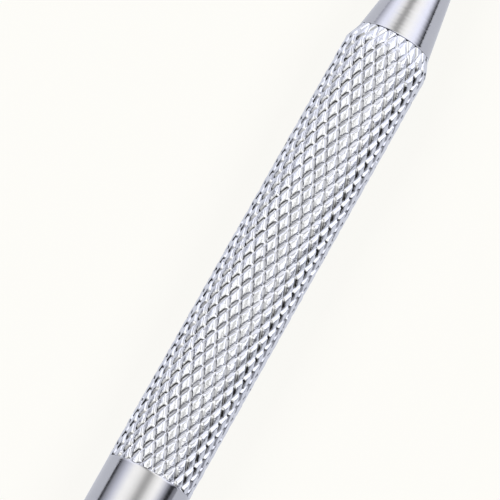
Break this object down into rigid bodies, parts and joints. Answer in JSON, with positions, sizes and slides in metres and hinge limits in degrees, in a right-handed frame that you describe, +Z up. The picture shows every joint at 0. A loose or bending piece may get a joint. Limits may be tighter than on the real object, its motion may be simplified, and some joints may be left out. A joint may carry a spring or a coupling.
{
  "type": "pocket scriber",
  "caption": "Pocket scriber: a diamond-knurled grip, a tapered collet chuck with a carbide-tipped point, a plain round handle and a hexagonal anti-roll cap that closes it.",
  "frame": {"origin": "on the resting surface, under the middle of the scriber's length", "axes": "+X along the scriber towards its point, +Z up from the resting surface, +Y to the left seen along +X"},
  "size_m": [0.1404, 0.0092, 0.008],
  "materials": {
    "plated_steel": "bright nickel-chrome plate over turned and knurled steel",
    "turned_plated_steel": "bright plate over fine turning rings",
    "spring_steel": "hardened, oiled",
    "tool_steel": "centreless ground",
    "tungsten_carbide": "diamond ground",
    "magnet_plate": "nickel plated",
    "nitrile_rubber": "moulded, matt"
  },
  "bodies": {
    "handle": {"barrel": "plated_steel", "collet_spring": "spring_steel", "bore_buffer": "nitrile_rubber"},
    "chuck_collet": {"collet": "spring_steel"},
    "chuck_nose": {"nose_cone": "turned_plated_steel"},
    "scribing_point": {"point_shank": "tool_steel", "point_carbide_tip": "tungsten_carbide"},
    "seal_ring": {"cap_seal": "nitrile_rubber"},
    "end_cap": {"hex_cap": "plated_steel", "magnet": "magnet_plate", "spare_grommet": "nitrile_rubber", "spare_shank": "tool_steel", "spare_carbide_tip": "tungsten_carbide"}
  },
  "joints": [
    {"name": "collet_slide", "type": "slide", "parent": "handle", "child": "chuck_collet", "axis": [1, 0, 0], "range_m": [0, 0.001]},
    {"name": "nose_turn", "type": "hinge", "parent": "chuck_collet", "child": "chuck_nose", "pos_m": [0.03515, 0, 0.004], "axis": [1, 0, 0], "range_deg": [0, 720]},
    {"name": "point_slide", "type": "slide", "parent": "chuck_collet", "child": "scribing_point", "axis": [1, 0, 0], "range_m": [-0.026, 0.004]},
    {"name": "seal_slide", "type": "slide", "parent": "handle", "child": "seal_ring", "axis": [-1, 0, 0], "range_m": [0, 0.0015]},
    {"name": "cap_turn", "type": "hinge", "parent": "seal_ring", "child": "end_cap", "pos_m": [-0.06115, 0, 0.004], "axis": [-1, 0, 0], "range_deg": [0, 1080]}
  ],
  "couplings": [
    {"joint": "nose_turn", "follows": "collet_slide", "rad_per_m": 12566},
    {"joint": "cap_turn", "follows": "seal_slide", "rad_per_m": 12566}
  ]
}
